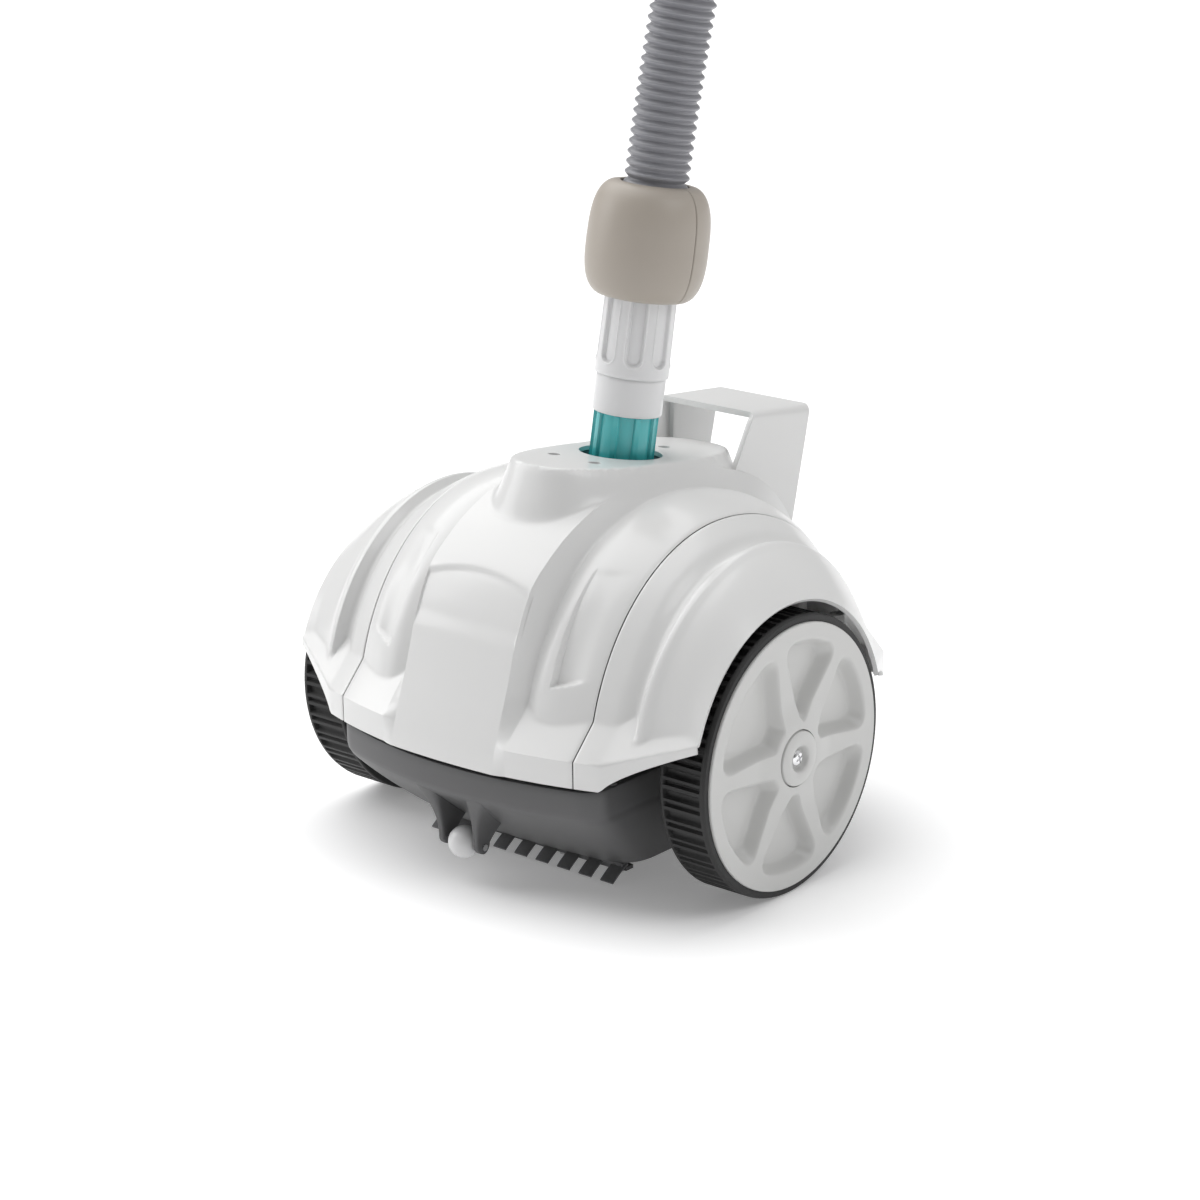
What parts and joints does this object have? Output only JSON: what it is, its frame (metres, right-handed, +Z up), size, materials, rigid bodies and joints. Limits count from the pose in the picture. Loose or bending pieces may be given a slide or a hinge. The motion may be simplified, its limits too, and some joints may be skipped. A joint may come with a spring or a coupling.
{
  "type": "pool cleaner",
  "caption": "Pool cleaner with a glossy domed cover over a dark base, turbine-driven ribbed wheels, scrubbing comb, swivelling hose joint, float, leader hose and carrying handle.",
  "frame": {"origin": "on the floor, below the middle of the body (cover, wheels and handle; the hose and its far cuff left out)", "axes": "+Z up from the floor, -Y towards the front, +X along the wheel axles towards the right wheel"},
  "size_m": [0.3212, 0.3071, 0.6246],
  "materials": {
    "white_cover": "glossy injection-moulded plastic",
    "grey_base": "satin dark grey plastic",
    "white_fitting": "glossy white plastic",
    "turquoise": "satin turquoise plastic",
    "float_foam": "matt taupe plastic",
    "hose_grey": "semi-gloss grey plastic",
    "rim_grey": "satin light grey plastic",
    "tread": "black rubber",
    "comb_rubber": "dark grey rubber",
    "seal_rubber": "black rubber",
    "steel": "stainless steel",
    "bright_screw": "bright stainless steel",
    "gear_nylon": "natural nylon",
    "inner_plastic": "grey plastic",
    "white_foam": "closed-cell foam"
  },
  "bodies": {
    "root": {"ball_pin": "steel", "ballast_plates": "steel", "base_tray": "grey_base", "buoyancy_foam": "white_foam", "carry_handle": "white_cover", "center_cover": "white_cover", "comb_clamp": "grey_base", "comb_screws": "steel", "cover_screws": "steel", "duct_seal": "seal_rubber", "gear_lid_screws": "steel", "gear_pins": "steel", "intake_frame": "grey_base", "intake_screws": "steel", "left_axle_bushes": "gear_nylon", "left_axle_seal": "seal_rubber", "left_fender": "white_cover", "left_gear_case": "inner_plastic", "left_gear_lid": "inner_plastic", "neck_screws": "steel", "right_axle_bushes": "gear_nylon", "right_axle_seal": "seal_rubber", "right_fender": "white_cover", "right_gear_case": "inner_plastic", "right_gear_lid": "inner_plastic", "scrubber_comb": "comb_rubber", "suction_duct": "inner_plastic", "swivel_seat": "inner_plastic", "turbine_bushes": "gear_nylon", "turbine_housing": "inner_plastic"},
    "right_wheel": {"right_rim": "rim_grey", "right_tyre": "tread", "right_hub_cap": "rim_grey", "right_wheel_screw": "bright_screw", "right_axle": "steel", "right_axle_gear": "gear_nylon"},
    "left_wheel": {"left_rim": "rim_grey", "left_tyre": "tread", "left_hub_cap": "rim_grey", "left_wheel_screw": "bright_screw", "left_axle": "steel", "left_axle_gear": "gear_nylon"},
    "right_reduction": {"right_compound_gear": "gear_nylon"},
    "left_reduction": {"left_compound_gear": "gear_nylon"},
    "turbine": {"turbine_rotor": "inner_plastic", "turbine_shaft": "steel", "right_pinion": "gear_nylon", "left_pinion": "gear_nylon"},
    "front_ball": {"guide_ball": "white_fitting"},
    "swivel": {"swivel_ring": "turquoise"},
    "hose": {"hose_spigot": "turquoise", "cuff_ring": "white_fitting", "hose_cuff": "white_fitting", "float_half_a": "float_foam", "float_half_b": "float_foam", "leader_hose": "hose_grey", "far_cuff": "white_fitting"}
  },
  "joints": [
    {"name": "right_wheel_spin", "type": "hinge", "parent": "root", "child": "right_wheel", "pos_m": [0.138, -0.0235, 0.083], "axis": [1, 0, 0], "continuous": true},
    {"name": "left_wheel_spin", "type": "hinge", "parent": "root", "child": "left_wheel", "pos_m": [-0.138, -0.0235, 0.083], "axis": [1, 0, 0], "continuous": true},
    {"name": "right_reduction_spin", "type": "hinge", "parent": "root", "child": "right_reduction", "pos_m": [0.052, 0.01185, 0.08981], "axis": [1, 0, 0], "continuous": true},
    {"name": "left_reduction_spin", "type": "hinge", "parent": "root", "child": "left_reduction", "pos_m": [-0.052, 0.01185, 0.08981], "axis": [1, 0, 0], "continuous": true},
    {"name": "turbine_spin", "type": "hinge", "parent": "root", "child": "turbine", "pos_m": [0, 0.0085, 0.06], "axis": [1, 0, 0], "continuous": true},
    {"name": "guide_ball_spin", "type": "hinge", "parent": "root", "child": "front_ball", "pos_m": [0, -0.1325, 0.0264], "axis": [1, 0, 0], "continuous": true},
    {"name": "neck_swivel", "type": "hinge", "parent": "root", "child": "swivel", "pos_m": [0, 0.00767, 0.21361], "axis": [0, 0.1219, 0.9925], "continuous": true},
    {"name": "hose_tilt", "type": "hinge", "parent": "swivel", "child": "hose", "pos_m": [0, 0.00767, 0.21361], "axis": [0, 0.9925, -0.1219], "range_deg": [-15, 9]}
  ],
  "couplings": [
    {"joint": "left_wheel_spin", "follows": "right_wheel_spin", "ratio": 1},
    {"joint": "right_reduction_spin", "follows": "right_wheel_spin", "ratio": -5},
    {"joint": "left_reduction_spin", "follows": "right_wheel_spin", "ratio": -5},
    {"joint": "turbine_spin", "follows": "right_wheel_spin", "ratio": 20}
  ]
}
